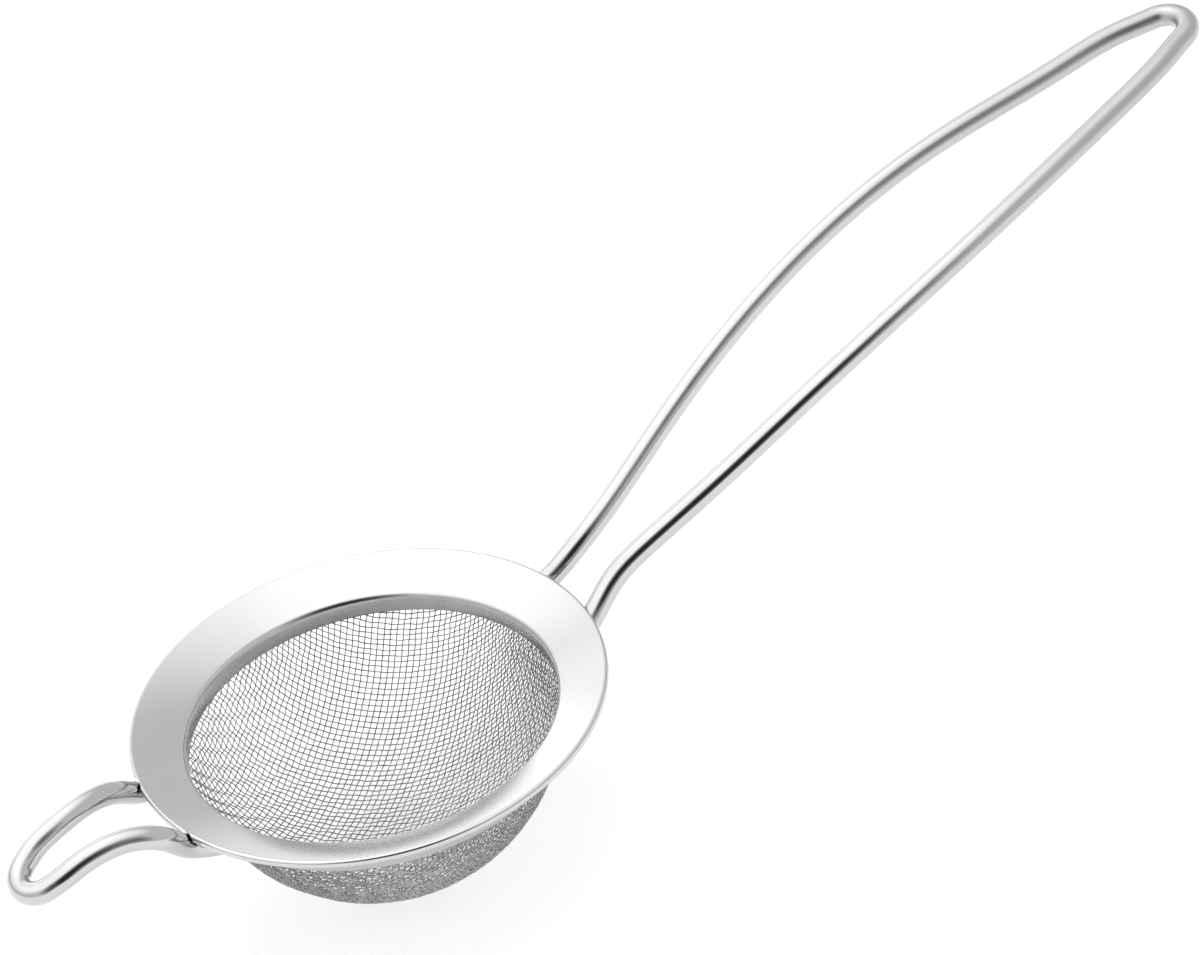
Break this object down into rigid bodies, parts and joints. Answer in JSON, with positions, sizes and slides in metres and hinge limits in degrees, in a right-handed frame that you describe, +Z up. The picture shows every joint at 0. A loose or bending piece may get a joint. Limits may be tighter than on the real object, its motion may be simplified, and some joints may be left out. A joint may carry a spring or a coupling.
{
  "type": "tea strainer",
  "caption": "Round steel tea strainer: a fine wire-cloth bowl clamped in a dished sheet rim, with a long hairpin wire handle and a short wire rest loop opposite.",
  "frame": {"origin": "the lowest point of the bowl, on the bowl's axis", "axes": "+Z up along the bowl's axis, +X along the handle away from the bowl; the rest loop points along -X"},
  "size_m": [0.2486, 0.08, 0.0798],
  "materials": {
    "satin_sheet": "fine satin, brushed around the rim",
    "satin_ring": "satin",
    "wire_cloth": "drawn wire, woven",
    "bright_wire": "polished wire",
    "weld_metal": "dull, as welded"
  },
  "bodies": {
    "root": {"rim": "satin_sheet", "clamp_ring": "satin_ring", "mesh_basket": "wire_cloth", "handle_wire": "bright_wire", "rest_wire": "bright_wire", "weld_handle_left": "weld_metal", "weld_handle_right": "weld_metal", "weld_rest_left": "weld_metal", "weld_rest_right": "weld_metal"}
  },
  "joints": []
}
